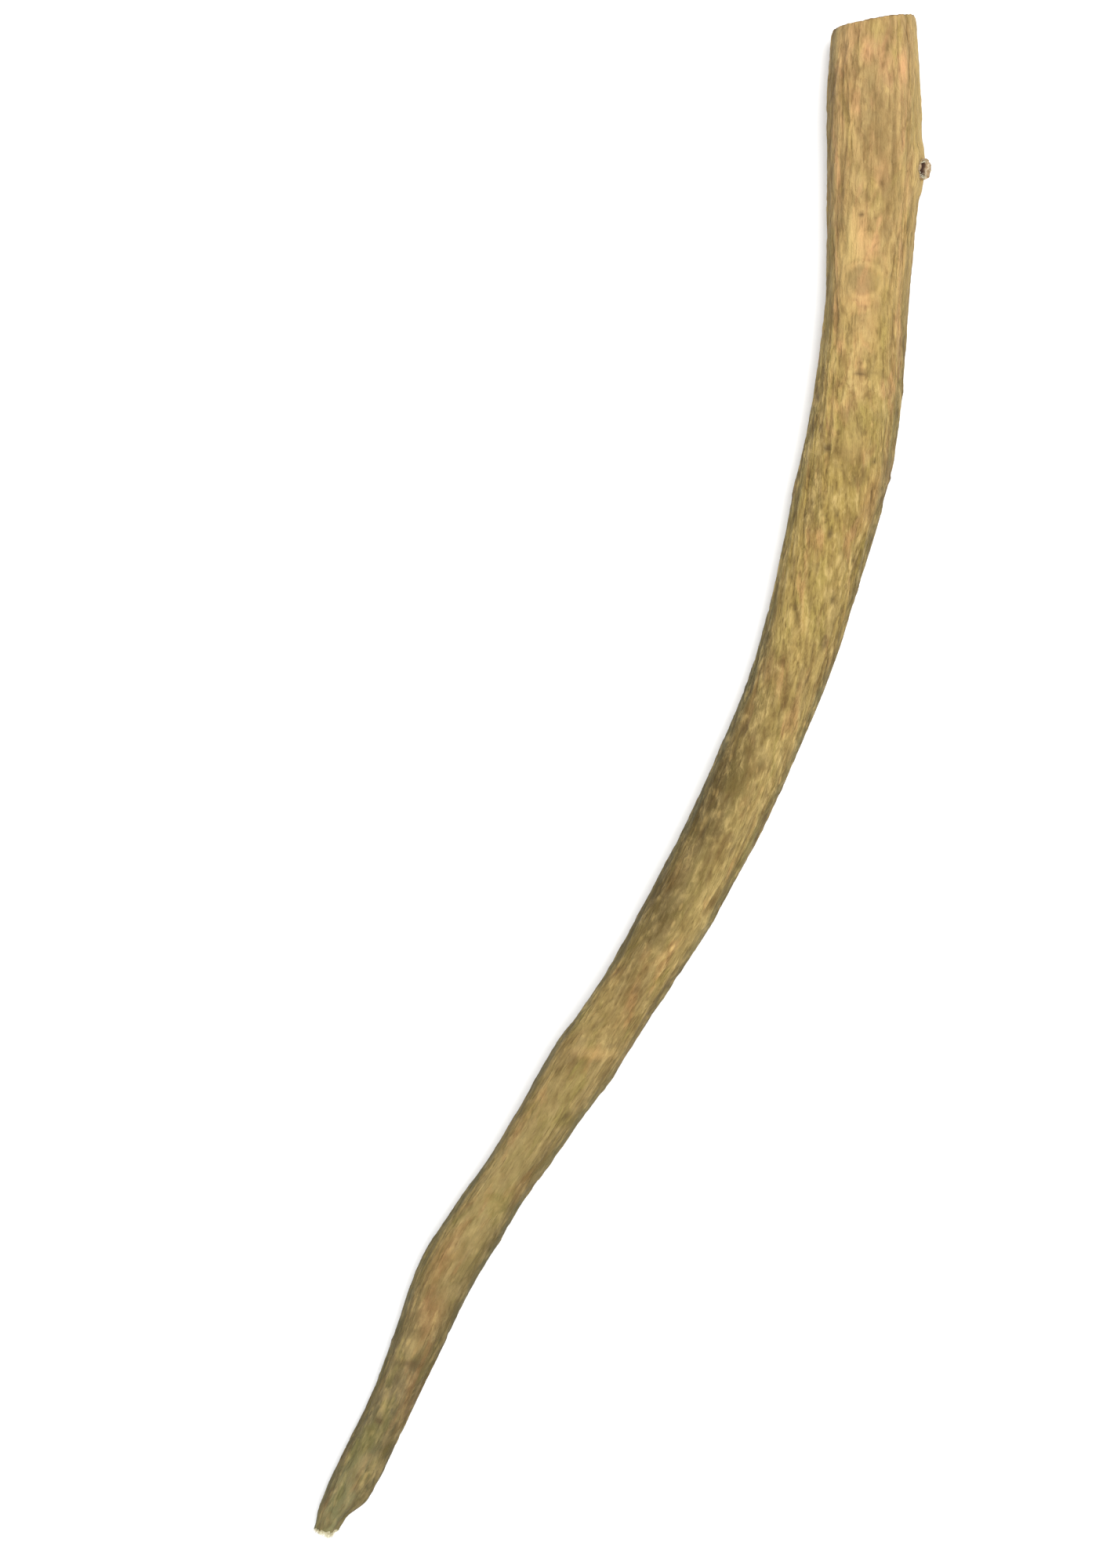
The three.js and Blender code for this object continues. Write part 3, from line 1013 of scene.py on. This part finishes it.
# Bare wood: cream with rays that run out from the middle, darker at the ring, the pith and the
# bark, where its share of the radius says, and paler at the torn tip.
def woodMaterial():
    material, tree, shader = newMaterial("bare root wood", roughness=0.85, specular=0.25)
    places = attribute(tree, "straight", "Vector")
    out = attribute(tree, "across")
    mottle = grainNoise(tree, places, 3.0, 0.8, detail=4, distortion=0.4)
    fine = grainNoise(tree, places, 1.0, 0.16)
    rays = grainNoise(tree, outwards(tree, places), 0.055, 0.055, distortion=0.3)
    wavering = plus(tree, out, times(tree, mottle, 0.06))
    tone = drawOver(
        tree, woodFinish["fresh"], woodFinish,
        ("aged", mottle, 0.35, 0.68),
        ("ringDark", rays, 0.5, 0.34, 0.4),
        ("ringDark", fine, 0.45, 0.3, 0.5),
        ("barkEdge", wavering, 0.86, 0.94, 0.85),
        ("ringDark", wavering, 0.62, 0.67, levels(tree, wavering, 0.74, 0.68), 0.55),
        ("ringDark", out, 0.14, 0.05, 0.5),
        ("torn", attribute(tree, "share"), 0.6, 0.4, 0.7),
    )
    finishSurface(tree, shader, tone, plus(tree, times(tree, mottle, 0.6), fine, rays), woodFinish["bump"])
    return material


# Noise on a piece's own places, with its largest lumps about 1 / perMm mm across.
def ownNoise(tree, perMm, detail, roughness):
    place = addNode(tree, "TexCoord").outputs["Object"]
    inputs = {"Vector": place, "Scale": perMm / mm, "Detail": detail, "Roughness": roughness}
    return addNode(tree, "TexNoise", inputs).outputs["Fac"]


fibreFinish = dict(pale=colour(224, 219, 192), tan=colour(180, 166, 124))


# Torn fibres: pale, with a little tan, by noise along each.
def fibreMaterial():
    material, tree, shader = newMaterial("torn fibres", roughness=0.8, specular=0.3)
    spread = ownNoise(tree, 0.9, detail=2.0, roughness=0.6)
    tone = drawOver(tree, fibreFinish["pale"], fibreFinish, ("tan", spread, 0.4, 0.65))
    tree.links.new(tone, shader.inputs["Base Color"])
    return material


stubFinish = dict(
    skin=colour(176, 149, 94),
    broken=colour(150, 126, 94),
    # dark brown for specks on the stub, and for painted shade in its hollows
    hollow=colour(66, 46, 34),
    frayed=colour(208, 195, 168),
    bump=0.15,  # mm
)


# The stub: tan skin at its foot, a greyer broken end with pale torn wood, dark brown specks, and dark
# brown painted shade in its hollows.
def stubMaterial():
    material, tree, shader = newMaterial("weathered stub", roughness=0.9, specular=0.25)
    grainy = ownNoise(tree, 2.2, detail=4.0, roughness=0.65)
    out = levels(tree, attribute(tree, "out"), 0.55, 1.0)
    tone = drawOver(
        tree, blend(tree, out, stubFinish["skin"], stubFinish["broken"]), stubFinish,
        ("frayed", grainy, 0.48, 0.64, out, 0.6),
        ("hollow", grainy, 0.46, 0.32, 0.45),
        # painted shade in the hollows, darker the deeper they are
        ("hollow", attribute(tree, "hollow"), 0.12, 0.5),
    )
    finishSurface(tree, shader, tone, grainy, stubFinish["bump"])
    return material


# The root's faces are in the grid's order, rows of quads and then the two fans: those between the
# rows of bark are bark, and the rest are bare wood.
def dressRoot():
    root.data.materials.append(barkMaterial())
    root.data.materials.append(woodMaterial())
    bareRows = ~(onBark[:-1, 0] & onBark[1:, 0])
    bare = np.r_[np.repeat(bareRows, angle.size), np.ones(2 * angle.size, bool)]
    root.data.polygons.foreach_set("material_index", bare.astype(np.int32))


dressRoot()
torn = fibreMaterial()
tipHairs.data.materials.append(torn)
stubHairs.data.materials.append(torn)
stub.data.materials.append(stubMaterial())
print("materials made")


tableTop = dict(reach=8.0, colour=(0.92, 0.925, 0.93, 1))


# One square of table, reach metres from its middle to each side.
def makeTable():
    corners = tableTop["reach"] * np.array([(-1, -1, 0), (1, -1, 0), (1, 1, 0), (-1, 1, 0)])
    table = meshObject("table", corners, np.array([(0, 1, 2, 3)]), np.empty((0, 3), int))
    material, _, shader = newMaterial("pale table", roughness=0.6)
    shader.inputs["Base Color"].default_value = tableTop["colour"]
    table.data.materials.append(material)
    table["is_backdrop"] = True


studioLight = dict(
    sky=0.15,
    skyColour=(0.96, 0.98, 1.0, 1),
    lamps=[
        # the way to the lamp in x, y and z, degrees that it spans in the sky, and strength
        ((0.16, -0.16, 1.0), 43, 3.0),
        ((-0.10, 0.10, 1.0), 69, 2.1),
    ],
)


# Two wide soft lamps far overhead, so the table is evenly lit all the way out.
def makeLight():
    world = bpy.data.worlds.new("studio")
    bpy.context.scene.world = world
    world.use_nodes = True
    background = world.node_tree.nodes["Background"]
    background.inputs["Color"].default_value = studioLight["skyColour"]
    background.inputs["Strength"].default_value = studioLight["sky"]
    for number, (way, spans, strength) in enumerate(studioLight["lamps"]):
        lamp = bpy.data.lights.new(f"studio lamp {number}", "SUN")
        lamp.angle = math.radians(spans)
        lamp.energy = strength
        holder = placed(lamp.name, lamp)
        holder.rotation_euler = Vector(way).to_track_quat("Z", "Y").to_euler()


cameraView = dict(
    over=(-3.44, 13.68),  # the place under the camera, mm from the middle of the box
    tall=190.8,  # mm that the frame covers at the root's mid height
    midHeight=5.0,
    distance=600.0,
    rolled=-70.08,  # degrees: the crown points up and to the right
)


# The camera looks straight down, with a lens that shows the frame's height at the root's mid height.
def makeCamera():
    data = bpy.data.cameras.new("camera")
    data.sensor_width = 36.0
    above = cameraView["distance"] - cameraView["midHeight"]
    data.lens = data.sensor_width * above / cameraView["tall"]
    data.clip_start, data.clip_end = 0.01, 20
    place = middle + mm * np.array([*cameraView["over"], cameraView["distance"]])
    turn = Matrix.Rotation(math.radians(cameraView["rolled"]), 4, "Z")
    camera = placed("camera", data)
    camera.matrix_world = Matrix.Translation(place) @ turn
    bpy.context.scene.camera = camera


makeTable()
makeLight()
makeCamera()
bpy.context.scene.view_settings.view_transform = "Standard"
print("table, light and camera made")

for piece, slot in ((root, "bark"), (stub, "bark"), (tipHairs, "inner_wood"), (stubHairs, "inner_wood")):
    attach(piece, "root")
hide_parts("pushkarmool_root")

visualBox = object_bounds()
for name, box in (("solid", cadBox), ("skin", visualBox)):
    print("box of the", name, np.round(box, 5).tolist())
